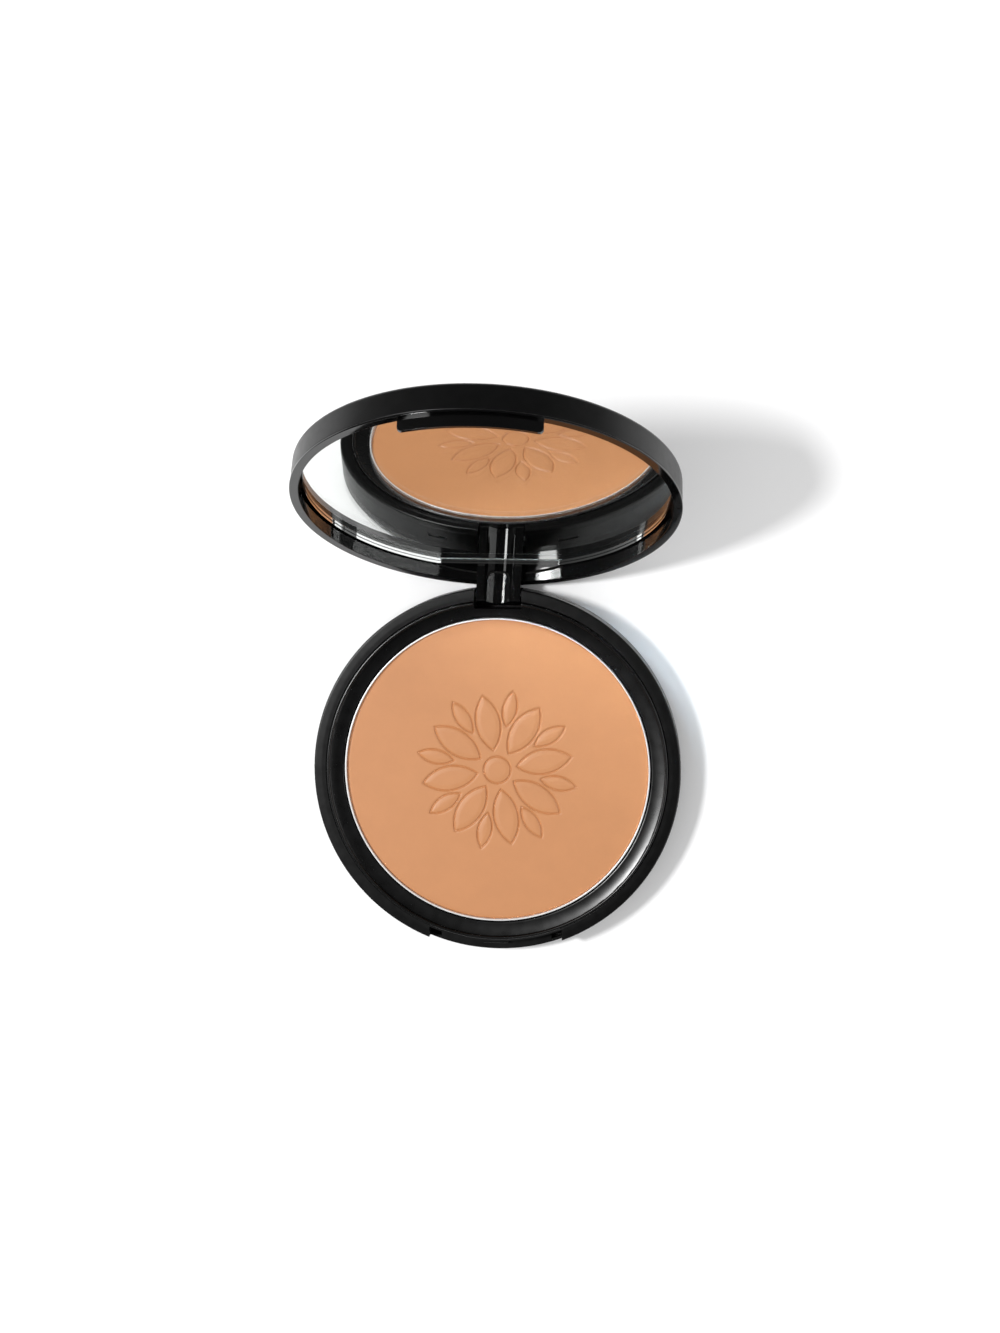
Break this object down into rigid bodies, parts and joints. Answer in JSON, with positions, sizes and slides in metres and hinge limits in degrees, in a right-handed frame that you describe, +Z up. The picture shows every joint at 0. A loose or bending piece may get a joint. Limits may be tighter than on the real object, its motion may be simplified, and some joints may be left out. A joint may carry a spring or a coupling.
{
  "type": "powder compact",
  "caption": "Round black powder compact, standing open: pressed powder in a metal pan in the base, mirror in the hinged lid.",
  "frame": {"origin": "on the table, under the middle of the opened compact's bounding box", "axes": "+Z up from the table, +Y from the base's front towards the open lid, +X along the hinge axis"},
  "size_m": [0.0716, 0.11, 0.0655],
  "materials": {
    "satin_black": "satin moulded black",
    "gloss_black": "polished moulded black",
    "pan_metal": "bright rolled",
    "powder": "pressed powder, dull and fine-grained",
    "mirror": "back-silvered glass",
    "pin_steel": "drawn wire",
    "adhesive": "dull",
    "label": "blank satin film"
  },
  "bodies": {
    "base": {"base_shell": "satin_black", "base_tray": "gloss_black", "pan_glue": "adhesive", "powder_pan": "pan_metal", "powder_cake": "powder", "bottom_label": "label", "hinge_pin_left": "pin_steel", "hinge_pin_right": "pin_steel"},
    "lid": {"lid_shell": "satin_black", "lid_frame": "gloss_black", "mirror_glass": "mirror", "mirror_tape": "adhesive"}
  },
  "joints": [
    {"name": "lid_hinge", "type": "hinge", "parent": "base", "child": "lid", "pos_m": [0, 0.01407, 0.0055], "axis": [1, 0, 0], "range_deg": [0, 120.5]}
  ]
}
